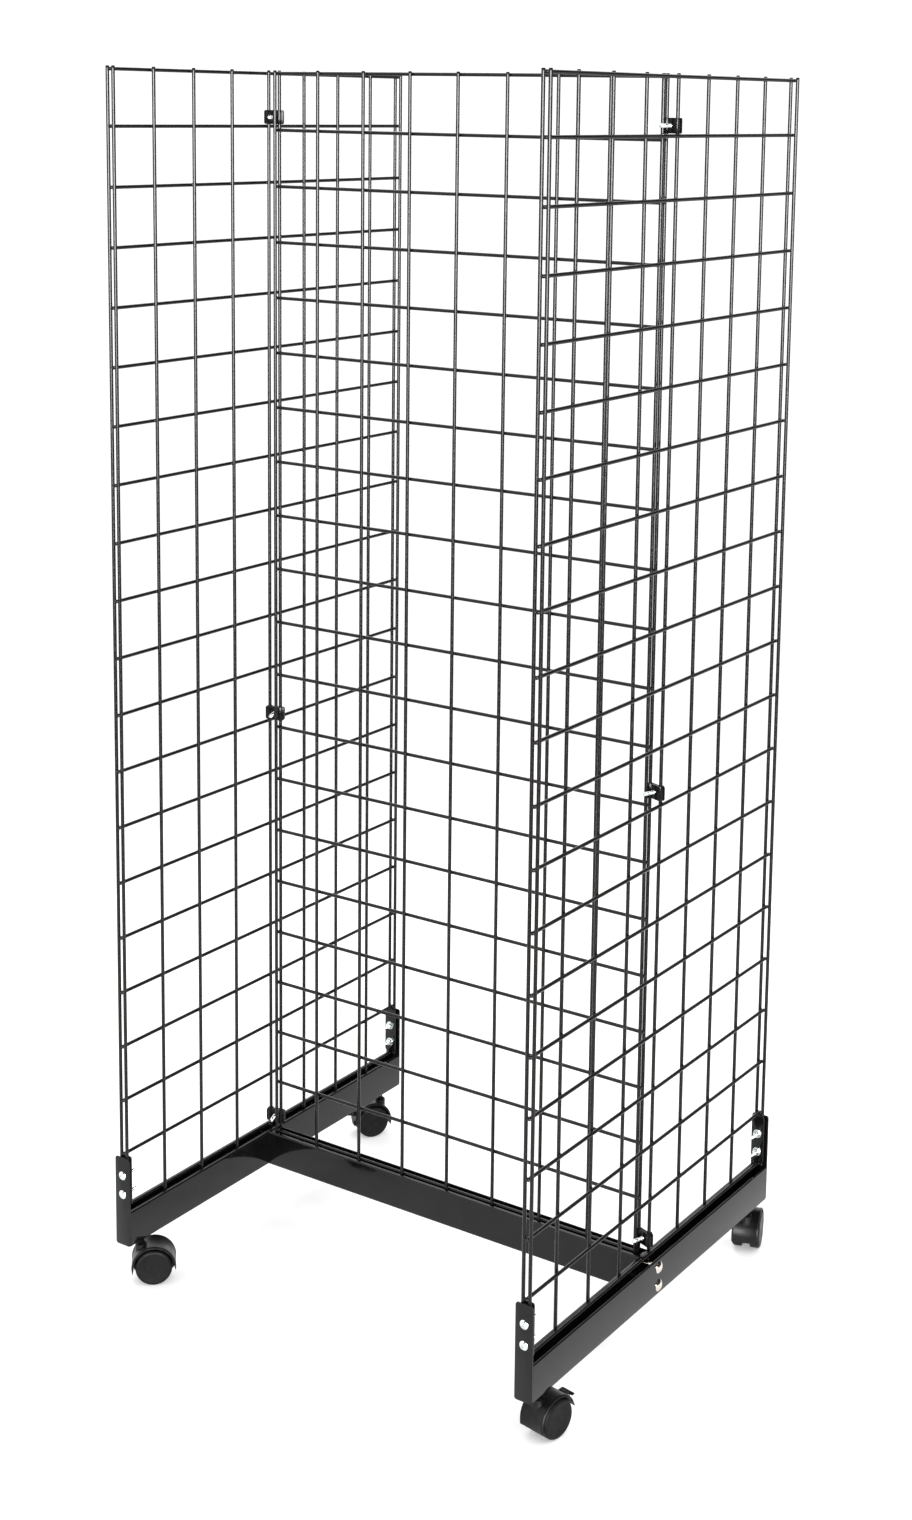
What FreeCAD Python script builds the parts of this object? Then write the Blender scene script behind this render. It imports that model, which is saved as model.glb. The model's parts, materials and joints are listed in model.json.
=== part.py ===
"""H-shaped wire grid display stand on casters: three welded grid panels stood in a channel base.

Frame: millimetres, X across the stand, Y from front to back, Z up, origin on the floor
under the middle of the stand.  Every node is written to parts/NODE.step.
"""
import math
import os

import FreeCAD
import Part

V = FreeCAD.Vector
os.makedirs("parts", exist_ok=True)

# ---- grid panels -------------------------------------------------------------------
WIRE_R = 2.4                # half of the 4.8 mm wire
PITCH = 76.2                # the 3 inch grid
BAYS_UP = 20                # bays from the lowest cross wire to the highest
EDGE = 302.4                # edge wires from the middle of a 24 inch panel
CROSS_END = 304.4           # the cross wires' ends, just inside the edge wires' outer sides
TOP_Z = 1639.0              # centre of the highest cross wire
TIP_Z = 1643.0              # the upright wires end a little above it
FOOT_Z = 108.0              # and a little inside the base channels
SIDE_LIFT = 5.0             # a side panel's first bay is shorter, so its other wires sit higher
SIDE_X = 319.0              # plane of a side panel's upright wires
CENTRE_Y = -7.2             # plane of the centre panel's upright wires

# ---- base channels -----------------------------------------------------------------
RAIL_W = 25.4
RAIL_Z0 = 66.0
RAIL_Z1 = 116.0
SHEET = 1.8
LIP = 5.0                   # turned-in lip along the top of one wall
LIP_GAP = 0.5               # from the lip to the upright wires behind it
RAIL_END = 304.9            # where the side rails stop and their end plates start
BEND_R = 2.2
SIDE_IN = SIDE_X - WIRE_R - LIP_GAP - LIP      # a side rail's inner face
CROSS_FRONT = CENTRE_Y - WIRE_R - LIP_GAP - LIP  # the cross rail's front face
CROSS_END_X = SIDE_IN - 0.1

# ---- end plates and their screws ---------------------------------------------------
END_T = 2.0
END_TOP = 192.0
SCREW_Z = (139.0, 166.0)
SCREW_X = SIDE_X + 2 * WIRE_R      # passes between the two edge wires
SCREW_R = 2.0
SCREW_HEAD_R = 6.0
SCREW_HEAD_H = 2.8
SCREW_LEN = 27.0
CLAMP_W = 19.0
CLAMP_Z = (123.5, 192.5)
CLAMP_Y = EDGE - WIRE_R - 0.1      # face of the clamp bar that bears on the edge wires

# ---- bolts that hold the cross rail ------------------------------------------------
DOME_Z = (79.0, 104.0)
DOME_Y = CROSS_FRONT + RAIL_W / 2
DOME_R = 8.0
DOME_H = 4.0
BOLT_R = 3.0
FIT = 0.06                  # radial clearance of a screw or bolt in its hole

# ---- joining clips -----------------------------------------------------------------
CLIP_Z = (136.5, 743.0, 1580.2)
CLIP_H = 19.0
CLIP_T = 1.8
CLIP_TURN = 21.0            # the clip's bolt leans towards the middle of the stand
CLIP_HALF = 14.2            # half of the clip's width
CLIP_GAP = 1.4              # between the two plates
CLIP_BOLT_R = 2.5
CLIP_BOLT_X = 0.7           # the bolt passes just beside the front edge wire
CLIP_TAIL = 17.0            # it stands out this far in front of the front plate

# ---- casters -----------------------------------------------------------------------
WHEEL_R = 25.0
WHEEL_IN = 6.0              # inner and outer faces of a wheel from the caster's mid-plane
WHEEL_OUT = 19.8
TRAIL = 17.0                # axle from the swivel axis
HOOD_R0 = 27.2
HOOD_R1 = 30.0
HOOD_HALF = 19.0
HOOD_FRONT_END = -8.0       # the hood's ends below the axle, on the stem's side
HOOD_BACK_END = -4.0        # and on the trailing side
HOOD_BRAKE_END = 6.0        # where a brake pedal leaves it shorter
WEB_HALF = 5.2
AXLE_R = 3.0
AXLE_HALF = 16.0
STEM_R = 4.0
COLLAR_R = 6.0              # the stem's collars: one under the rail, one on the boss
BOSS_R = 8.0
BOSS_TOP = 54.2
SWIVEL_X = SIDE_IN + RAIL_W / 2
SWIVEL_Y = 272.0
# name: (side of X, side of Y, heading of the trail from +X in degrees, has a brake)
CASTERS = {
    "fl": (-1, -1, 42.0, False),
    "fr": (1, -1, 80.0, True),
    "bl": (-1, 1, 236.0, True),
    "br": (1, 1, 109.0, False),
}
PEDAL_PIVOT = (30.0, 14.0)  # pedal pivot from the axle, along the trail and up
PEDAL_PIN_R = 1.5
PEDAL_BARREL_R = 2.7
PEDAL_HALF = 9.8            # half of the pedal's width
PEDAL_LEN = 8.5             # the pedal's tip from its pivot
PEDAL_T = 2.8
EAR_IN = 4.6                # the hood's two ears hold the pedal's pin
EAR_OUT = 7.0
EAR_R = 3.3


def save(name, *solids):
    """Write one node; several solids are kept apart in a compound."""
    shape = solids[0] if len(solids) == 1 else Part.makeCompound(list(solids))
    shape.exportStep("parts/%s.step" % name)


def box(x0, x1, y0, y1, z0, z1):
    return Part.makeBox(x1 - x0, y1 - y0, z1 - z0, V(x0, y0, z0))


def rod(radius, start, end):
    """A round bar from one point to another."""
    a, b = V(*start), V(*end)
    return Part.makeCylinder(radius, (b - a).Length, a, b - a)


def mirror_x(shape, side):
    """The shape itself on the right side, its mirror image on the left."""
    if side > 0:
        return shape
    return shape.mirror(V(0, 0, 0), V(1, 0, 0))


def mirror_y(shape, side):
    if side > 0:
        return shape
    return shape.mirror(V(0, 0, 0), V(0, 1, 0))


def round_edges(shape, radius, wanted):
    """Round the edges whose mid-point passes the test."""
    edges = []
    for edge in shape.Edges:
        mid = edge.valueAt((edge.FirstParameter + edge.LastParameter) / 2)
        if wanted(mid, edge):
            edges.append(edge)
    return shape.makeFillet(radius, edges)


# ---- panels ------------------------------------------------------------------------
def wire_stations():
    """Places of the nine upright wires across a panel."""
    inner = [k * PITCH for k in range(-3, 4)]
    return [-EDGE] + inner + [EDGE]


def cross_heights(lift):
    """Heights of the cross wires; all but the highest are moved by the lift."""
    return [TOP_Z] + [TOP_Z - k * PITCH + lift for k in range(1, BAYS_UP + 1)]


def panel(name, place, lift):
    """Uprights on one face, cross wires behind them, a second wire behind at each edge."""
    uprights = [rod(WIRE_R, place(s, 0, FOOT_Z), place(s, 0, TIP_Z)) for s in wire_stations()]
    back = 4 * WIRE_R
    edges = [rod(WIRE_R, place(s, back, FOOT_Z), place(s, back, TIP_Z)) for s in (-EDGE, EDGE)]
    mid = 2 * WIRE_R
    cross = [rod(WIRE_R, place(-CROSS_END, mid, z), place(CROSS_END, mid, z))
             for z in cross_heights(lift)]
    save("panel_%s_uprights" % name, *uprights)
    save("panel_%s_edges" % name, *edges)
    save("panel_%s_cross" % name, *cross)


def panels():
    panel("left", lambda s, d, z: (-SIDE_X - d, s, z), SIDE_LIFT)
    panel("right", lambda s, d, z: (SIDE_X + d, s, z), SIDE_LIFT)
    panel("centre", lambda s, d, z: (s, CENTRE_Y + d, z), 0.0)


# ---- base --------------------------------------------------------------------------
def channel(length):
    """Channel along Y about its middle: inner face at x=0, lip turned in along that wall."""
    half = length / 2
    outer = box(0, RAIL_W, -half, half, RAIL_Z0, RAIL_Z1)
    outer = round_edges(outer, BEND_R, lambda m, e: abs(m.y) < 1 and
                        (m.z < RAIL_Z0 + 0.1 or (m.x < 0.1 and m.z > RAIL_Z1 - 0.1)))
    hollow = box(SHEET, RAIL_W - SHEET, -half - 1, half + 1, RAIL_Z0 + SHEET, RAIL_Z1 - SHEET)
    slot = box(LIP, RAIL_W - SHEET, -half - 1, half + 1, RAIL_Z1 - SHEET - 1, RAIL_Z1 + 1)
    return outer.cut(hollow.fuse(slot))


def side_rail(side):
    """Side rail with holes for the two cross-rail bolts and the two caster stems."""
    rail = channel(2 * RAIL_END)
    rail.translate(V(SIDE_IN, 0, 0))
    for z in DOME_Z:
        rail = rail.cut(rod(BOLT_R + FIT, (SIDE_IN - 1, DOME_Y, z), (SIDE_IN + RAIL_W + 1, DOME_Y, z)))
    for y in (-SWIVEL_Y, SWIVEL_Y):
        rail = rail.cut(rod(STEM_R + FIT, (SWIVEL_X, y, RAIL_Z0 - 1), (SWIVEL_X, y, RAIL_Z0 + 5)))
    return mirror_x(rail, side)


def cross_rail():
    """Cross rail, lip to the front, closed at each end by a flange that takes the bolts."""
    rail = channel(2 * CROSS_END_X)
    rail.rotate(V(0, 0, 0), V(0, 0, 1), 90)
    rail.translate(V(0, CROSS_FRONT, 0))
    for side in (-1, 1):
        flange = box(CROSS_END_X - END_T, CROSS_END_X, CROSS_FRONT + SHEET, CROSS_FRONT + RAIL_W - SHEET,
                     RAIL_Z0 + SHEET, RAIL_Z1 - SHEET)
        rail = rail.fuse(mirror_x(flange, side))
        for z in DOME_Z:
            rail = rail.cut(rod(BOLT_R + FIT, (side * (CROSS_END_X - 5), DOME_Y, z),
                                (side * (CROSS_END_X + 1), DOME_Y, z)))
    return rail.removeSplitter()


def end_plate(sx, sy):
    """Plate that closes a rail end and stands up beyond it to hold the panel's edge."""
    plate = box(SIDE_IN, SIDE_IN + RAIL_W, RAIL_END, RAIL_END + END_T, RAIL_Z0, END_TOP)
    plate = round_edges(plate, 3.5, lambda m, e: abs(m.y - RAIL_END - END_T / 2) < 0.1 and
                        (m.z > END_TOP - 1 or m.z < RAIL_Z0 + 1))
    for z in SCREW_Z:
        plate = plate.cut(rod(SCREW_R + FIT, (SCREW_X, RAIL_END - 1, z), (SCREW_X, RAIL_END + 5, z)))
    return mirror_x(mirror_y(plate, sy), sx)


def clamp_bar(sx, sy):
    """Bar inside the panel's edge wires that the two screws pull against them."""
    bar = box(SCREW_X - CLAMP_W / 2, SCREW_X + CLAMP_W / 2, CLAMP_Y - END_T, CLAMP_Y, *CLAMP_Z)
    bar = round_edges(bar, 3.0, lambda m, e: abs(m.y - CLAMP_Y + END_T / 2) < 0.1)
    for z in SCREW_Z:
        bar = bar.cut(rod(SCREW_R + FIT, (SCREW_X, CLAMP_Y - 5, z), (SCREW_X, CLAMP_Y + 1, z)))
    return mirror_x(mirror_y(bar, sy), sx)


def head_cap(radius, height, start, axis):
    """A domed head: the cap of a sphere on a flat base."""
    ball_r = (radius * radius + height * height) / (2 * height)
    a, d = V(*start), V(*axis)
    ball = Part.makeSphere(ball_r, a - d * (ball_r - height))
    disc = Part.makeCylinder(radius + 1, height + 1, a, d)
    return ball.common(disc)


def cross_recess(start, axis, depth, reach):
    """Cross-shaped driver recess cut into a head."""
    a, d = V(*start), V(*axis)
    slots = []
    for turn in (0, 90):
        bar = Part.makeBox(2 * reach, 1.1, depth + 3, V(-reach, -0.55, -depth))
        bar.rotate(V(0, 0, 0), V(0, 0, 1), turn)
        bar.Placement = FreeCAD.Placement(a, FreeCAD.Rotation(V(0, 0, 1), d)).multiply(bar.Placement)
        slots.append(bar)
    return slots[0].fuse(slots[1])


def hex_nut(flats, height, bore, start, axis):
    """A plain hexagon nut; a bore of zero makes a bolt head."""
    a, d = V(*start), V(*axis)
    reach = flats / 2 / math.cos(math.pi / 6)
    ring = [V(reach * math.cos(k * math.pi / 3), reach * math.sin(k * math.pi / 3), 0) for k in range(7)]
    nut = Part.Face(Part.makePolygon(ring)).extrude(V(0, 0, height))
    if bore:
        nut = nut.cut(Part.makeCylinder(bore, height + 2, V(0, 0, -1)))
    nut.Placement = FreeCAD.Placement(a, FreeCAD.Rotation(V(0, 0, 1), d))
    return nut


def end_screw(z):
    """Truss-head screw through the end plate and the clamp bar, at the right back corner."""
    face = RAIL_END + END_T
    head = head_cap(SCREW_HEAD_R, SCREW_HEAD_H, (SCREW_X, face, z), (0, 1, 0))
    head = head.cut(cross_recess((SCREW_X, face + SCREW_HEAD_H, z), (0, 1, 0), 1.5, 2.6))
    return head.fuse(rod(SCREW_R, (SCREW_X, face, z), (SCREW_X, face - SCREW_LEN, z)))


def end_nut(z):
    """Washer and nut behind the clamp bar."""
    inner = CLAMP_Y - END_T
    washer = rod(6.0, (SCREW_X, inner, z), (SCREW_X, inner - 1.0, z))
    washer = washer.cut(rod(SCREW_R + FIT, (SCREW_X, inner + 1, z), (SCREW_X, inner - 2, z)))
    nut = hex_nut(9.0, 3.6, SCREW_R + FIT, (SCREW_X, inner - 1.0, z), (0, -1, 0))
    return washer, nut


def dome_bolt(z):
    """Round-head bolt through the side rail into the cross rail's end flange."""
    face = SIDE_IN + RAIL_W
    head = head_cap(DOME_R, DOME_H, (face, DOME_Y, z), (1, 0, 0))
    return head.fuse(rod(BOLT_R, (face, DOME_Y, z), (CROSS_END_X - END_T - 4.2, DOME_Y, z)))


def dome_nut(z):
    return hex_nut(10.0, 3.6, BOLT_R + FIT, (CROSS_END_X - END_T, DOME_Y, z), (-1, 0, 0))


def base():
    save("rail_left", side_rail(-1))
    save("rail_right", side_rail(1))
    save("rail_cross", cross_rail())
    for side, sx in (("left", -1), ("right", 1)):
        screws, nuts = [], []
        for end, sy in (("front", -1), ("back", 1)):
            save("end_plate_%s_%s" % (side, end), end_plate(sx, sy))
            save("clamp_bar_%s_%s" % (side, end), clamp_bar(sx, sy))
            for z in SCREW_Z:
                screws.append(mirror_x(mirror_y(end_screw(z), sy), sx))
                nuts += [mirror_x(mirror_y(piece, sy), sx) for piece in end_nut(z)]
        save("end_screws_%s" % side, *screws)
        save("end_nuts_%s" % side, *nuts)
        save("rail_bolts_%s" % side, *[mirror_x(dome_bolt(z), sx) for z in DOME_Z])
        save("rail_nuts_%s" % side, *[mirror_x(dome_nut(z), sx) for z in DOME_Z])


# ---- joining clips -----------------------------------------------------------------
def clip_origin():
    """Plan middle of the two wires that a right-hand clip grips."""
    return (SIDE_X + EDGE) / 2, (CENTRE_Y + 4 * WIRE_R) / 2


def clip_local(x, y):
    """Plan position in a right-hand clip's own turned frame."""
    ox, oy = clip_origin()
    c, s = math.cos(math.radians(CLIP_TURN)), math.sin(math.radians(CLIP_TURN))
    dx, dy = x - ox, y - oy
    return dx * c - dy * s, dx * s + dy * c


def clip_place(shape, z, side):
    """Put a piece made in the clip's own frame on the stand."""
    ox, oy = clip_origin()
    shape = shape.copy()
    shape.rotate(V(0, 0, 0), V(0, 0, 1), -CLIP_TURN)
    shape.translate(V(ox, oy, z))
    return mirror_x(shape, side)


def arc_between(centre, radius, start, end):
    """Start, middle and end of an arc in plan, its angles in radians."""
    turns = [start + (end - start) * k / 2 for k in range(3)]
    return [V(centre[0] + radius * math.cos(a), centre[1] + radius * math.sin(a), 0) for a in turns]


def ring_face(runs):
    """Flat face inside a closed ring of corner points and three-point arcs, joined by lines."""
    edges = []
    for run, following in zip(runs, runs[1:] + runs[:1]):
        if len(run) == 3:
            edges.append(Part.Arc(*run).toShape())
        if (run[-1] - following[0]).Length > 1e-6:
            edges.append(Part.makeLine(run[-1], following[0]))
    return Part.Face(Part.Wire(edges))


def clip_plate():
    """Front plate of a clip: a deep groove over the left wire, half a groove over the right one."""
    left = clip_local(EDGE, CENTRE_Y + 4 * WIRE_R)
    right = clip_local(SIDE_X, 0.0)
    inside = CLIP_GAP / 2
    outside = inside + CLIP_T
    groove = right[1] + inside
    back = groove + CLIP_T
    web_turn = math.asin((outside + left[1]) / back)
    lip_in, lip_out = math.asin(inside / groove), math.asin(outside / back)
    half, full = math.pi, 2 * math.pi
    runs = [
        [V(-CLIP_HALF, left[1] - inside, 0)],
        arc_between(left, groove, half + lip_in, full),
        [V(left[0] + groove, -inside, 0)],
        arc_between(right, groove, 1.5 * math.pi, full - lip_in),
        [V(CLIP_HALF, right[1] - inside, 0)],
        [V(CLIP_HALF, right[1] - outside, 0)],
        arc_between(right, back, full - lip_out, 1.5 * math.pi),
        arc_between(left, back, full - web_turn, half + lip_out),
        [V(-CLIP_HALF, left[1] - outside, 0)],
    ]
    plate = ring_face(runs).extrude(V(0, 0, CLIP_H))
    plate.translate(V(0, 0, -CLIP_H / 2))
    return plate


def clip_plates():
    """The same plate twice, the back one turned half round, both drilled for the bolt."""
    front = clip_plate()
    turned = front.copy()
    turned.rotate(V(0, 0, 0), V(0, 0, 1), 180)
    far = 2 * CLIP_HALF
    hole = rod(CLIP_BOLT_R + FIT, (CLIP_BOLT_X, -far, 0), (CLIP_BOLT_X, far, 0))
    return front.cut(hole), turned.cut(hole)


def clip_bolt():
    """Bolt through the gap between the wires: head and washer at the back, long tail in front."""
    face = CLIP_GAP / 2 + CLIP_T
    head = face + 2.6
    shank = rod(CLIP_BOLT_R, (CLIP_BOLT_X, head, 0), (CLIP_BOLT_X, -face - CLIP_TAIL, 0))
    washer = rod(3.1, (CLIP_BOLT_X, face + 0.05, 0), (CLIP_BOLT_X, head, 0))
    return shank.fuse([washer, hex_nut(8.0, 3.6, 0, (CLIP_BOLT_X, head, 0), (0, 1, 0))])


def clips():
    front, back = clip_plates()
    bolt = clip_bolt()
    for side, sx in (("left", -1), ("right", 1)):
        save("clip_fronts_%s" % side, *[clip_place(front, z, sx) for z in CLIP_Z])
        save("clip_backs_%s" % side, *[clip_place(back, z, sx) for z in CLIP_Z])
        save("clip_bolts_%s" % side, *[clip_place(bolt, z, sx) for z in CLIP_Z])


# ---- casters: made with the axle along Y at the origin, the trail along +X ----------
def hood(brake):
    """Cover over both wheels, a web between them that carries the axle, a boss for the stem."""
    far = 2 * HOOD_R1
    full = rod(HOOD_R1, (0, -HOOD_HALF, 0), (0, HOOD_HALF, 0))
    full = round_edges(full, 2.0, lambda m, e: abs(abs(m.y) - HOOD_HALF) < 0.1)
    wheel_room = rod(HOOD_R0, (0, -far, 0), (0, far, 0))
    cover = full.cut(wheel_room)
    cover = cover.cut(box(-far, 0, -far, far, -far, HOOD_FRONT_END))
    cover = cover.cut(box(0, far, -far, far, -far, HOOD_BRAKE_END if brake else HOOD_BACK_END))
    web = rod(HOOD_R0 + 0.5, (0, -WEB_HALF, 0), (0, WEB_HALF, 0))
    web = web.cut(box(-far, far, -far, far, -far, HOOD_FRONT_END))
    bore_top = BOSS_TOP - WHEEL_R
    boss = rod(BOSS_R, (-TRAIL, 0, 4), (-TRAIL, 0, bore_top)).cut(wheel_room)
    body = cover.fuse([web, boss])
    body = body.cut(rod(STEM_R + FIT, (-TRAIL, 0, bore_top - 14.0), (-TRAIL, 0, bore_top + 1)))
    body = body.cut(rod(AXLE_R + FIT, (0, -far, 0), (0, far, 0)))
    if brake:
        px, pz = PEDAL_PIVOT
        for sy in (-1, 1):
            ear = rod(EAR_R, (px, sy * EAR_IN, pz), (px, sy * EAR_OUT, pz))
            root = box(px - 9.0, px + 0.5, EAR_IN, EAR_OUT, pz - EAR_R, pz + EAR_R)
            body = body.fuse(ear.fuse(mirror_y(root, sy).cut(wheel_room)))
            hole = rod(PEDAL_PIN_R + FIT, (px, sy * (EAR_IN - 1), pz), (px, sy * (EAR_OUT + 1), pz))
            body = body.cut(hole)
    return body.removeSplitter()


def wheel(sign):
    """Plain disc wheel, closed on the outside, running on the axle."""
    disc = rod(WHEEL_R, (0, sign * WHEEL_IN, 0), (0, sign * WHEEL_OUT, 0))
    disc = round_edges(disc, 3.2, lambda m, e: abs(m.y) > WHEEL_OUT - 0.1)
    disc = round_edges(disc, 1.2, lambda m, e: abs(m.y) < WHEEL_IN + 0.1)
    return disc.cut(rod(AXLE_R + FIT, (0, 0, 0), (0, sign * (AXLE_HALF + 0.5), 0)))


def stem():
    """Swivel stem fixed in the rail, with its two collars and its nut inside the channel."""
    rail = RAIL_Z0 - WHEEL_R
    boss = BOSS_TOP - WHEEL_R
    post = rod(STEM_R, (-TRAIL, 0, boss - 13.0), (-TRAIL, 0, rail + 9.0))
    upper = rod(COLLAR_R, (-TRAIL, 0, rail - 2.5), (-TRAIL, 0, rail - 0.05))
    lower = rod(COLLAR_R, (-TRAIL, 0, boss + 0.05), (-TRAIL, 0, boss + 1.5))
    nut = hex_nut(12.0, 5.0, 0, (-TRAIL, 0, rail + SHEET + 0.05), (0, 0, 1))
    return post.fuse([upper, lower, nut])


def pedal():
    """Brake pedal on its pin between the hood's ears, standing out past the hood."""
    px, pz = PEDAL_PIVOT
    neck = EAR_IN - 0.3
    barrel = rod(PEDAL_BARREL_R, (px, -neck, pz), (px, neck, pz))
    plate = box(px + 1.0, px + PEDAL_LEN, -PEDAL_HALF, PEDAL_HALF, pz - PEDAL_T / 2, pz + PEDAL_T / 2)
    for sy in (-1, 1):
        beside = box(px, px + EAR_R + 0.8, neck, PEDAL_HALF + 1, pz - PEDAL_T, pz + PEDAL_T)
        plate = plate.cut(mirror_y(beside, sy))
    plate = round_edges(plate, 0.9, lambda m, e: m.x > px + PEDAL_LEN - 0.1)
    lever = barrel.fuse(plate)
    lever = lever.cut(rod(PEDAL_PIN_R + FIT, (px, -neck - 1, pz), (px, neck + 1, pz)))
    return lever.removeSplitter()


def caster_place(shape, sx, sy, heading):
    """Turn a caster piece to its heading and hang it from its stem."""
    shape = shape.copy()
    shape.translate(V(TRAIL, 0, WHEEL_R))
    shape.rotate(V(0, 0, 0), V(0, 0, 1), heading)
    shape.translate(V(sx * SWIVEL_X, sy * SWIVEL_Y, 0))
    return shape


def casters():
    px, pz = PEDAL_PIVOT
    axle = rod(AXLE_R, (0, -AXLE_HALF, 0), (0, AXLE_HALF, 0))
    pin = rod(PEDAL_PIN_R, (px, -EAR_OUT, pz), (px, EAR_OUT, pz))
    for name, (sx, sy, heading, brake) in CASTERS.items():
        pieces = {"stem": stem(), "hood": hood(brake), "axle": axle,
                  "wheel_a": wheel(-1), "wheel_b": wheel(1)}
        if brake:
            pieces["pedal"] = pedal()
            pieces["pedal_pin"] = pin
        for part, shape in pieces.items():
            save("caster_%s_%s" % (name, part), caster_place(shape, sx, sy, heading))


panels()
base()
clips()
casters()
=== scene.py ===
"""The looks of the wire grid display stand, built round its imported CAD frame.

Metres throughout, in the frame's own axes: X across the stand, Y to the back, Z up.
"""
import json
import math
import random

import bmesh
import bpy
from mathutils import Matrix, Vector


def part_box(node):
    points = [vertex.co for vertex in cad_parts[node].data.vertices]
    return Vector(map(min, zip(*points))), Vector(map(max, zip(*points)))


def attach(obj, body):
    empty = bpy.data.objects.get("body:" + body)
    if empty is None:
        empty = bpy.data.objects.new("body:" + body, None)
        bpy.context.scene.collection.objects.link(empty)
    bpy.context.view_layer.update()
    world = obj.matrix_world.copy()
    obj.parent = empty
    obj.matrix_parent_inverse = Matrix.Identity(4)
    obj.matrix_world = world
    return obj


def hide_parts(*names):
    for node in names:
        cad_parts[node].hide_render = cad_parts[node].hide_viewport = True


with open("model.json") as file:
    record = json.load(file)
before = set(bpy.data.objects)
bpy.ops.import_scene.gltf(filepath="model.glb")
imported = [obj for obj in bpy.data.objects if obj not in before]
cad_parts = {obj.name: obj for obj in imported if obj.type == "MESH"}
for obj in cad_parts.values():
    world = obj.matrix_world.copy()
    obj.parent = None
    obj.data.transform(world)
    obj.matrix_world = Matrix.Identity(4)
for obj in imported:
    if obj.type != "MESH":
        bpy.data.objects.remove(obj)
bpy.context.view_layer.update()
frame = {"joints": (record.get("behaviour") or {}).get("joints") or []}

MM = 0.001
RNG = random.Random(7)

# ---- sizes that the CAD source drives too -------------------------------------------
WIRE_R = 2.4 * MM
PITCH = 76.2 * MM
BAYS_UP = 20
EDGE = 302.4 * MM
CROSS_END = 304.4 * MM
TIP_RISE = 4.0 * MM             # the uprights' ends above the highest cross wire
SIDE_LIFT = 5.0 * MM
RAIL_W = 25.4 * MM
SHEET = 1.8 * MM
LIP = 5.0 * MM
BEND_R = 2.2 * MM
PLATE_T = 2.0 * MM
SCREW_R = 2.0 * MM
SCREW_HEAD_R = 6.0 * MM
SCREW_HEAD_H = 2.8 * MM
BOLT_R = 3.0 * MM
DOME_R = 8.0 * MM
DOME_H = 4.0 * MM
CLIP_H = 19.0 * MM
CLIP_T = 1.8 * MM
CLIP_HALF = 14.2 * MM
CLIP_TURN = math.radians(21)
CLIP_GAP = 1.4 * MM
CLIP_BOLT_R = 2.5 * MM
CLIP_BOLT_X = 0.7 * MM
CLIP_TAIL = 17.0 * MM
CLIP_MID_Z = 743.0 * MM
WHEEL_R = 25.0 * MM
WHEEL_IN = 6.0 * MM
WHEEL_OUT = 19.8 * MM
TRAIL = 17.0 * MM
HOOD_R0 = 27.2 * MM
HOOD_R1 = 30.0 * MM
HOOD_HALF = 19.0 * MM
HOOD_FRONT_END = -8.0 * MM
HOOD_BACK_END = -4.0 * MM
HOOD_BRAKE_END = 6.0 * MM
WEB_HALF = 5.2 * MM
AXLE_R = 3.0 * MM
AXLE_HALF = 16.0 * MM
STEM_R = 4.0 * MM
COLLAR_R = 6.0 * MM
BOSS_R = 8.0 * MM
BOSS_TOP = 54.2 * MM
PEDAL_PIVOT = (30.0 * MM, 14.0 * MM)
PEDAL_BARREL_R = 2.7 * MM
PEDAL_HALF = 9.8 * MM
PEDAL_LEN = 8.5 * MM
EAR_IN = 4.6 * MM
EAR_OUT = 7.0 * MM
EAR_R = 3.3 * MM

# ---- a size that only the looks have --------------------------------------------------
HEM = 2.7 * MM                  # the rails' plain wall has its top edge rolled in this far

X = Vector((1, 0, 0))
Y = Vector((0, 1, 0))
Z = Vector((0, 0, 1))


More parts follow.
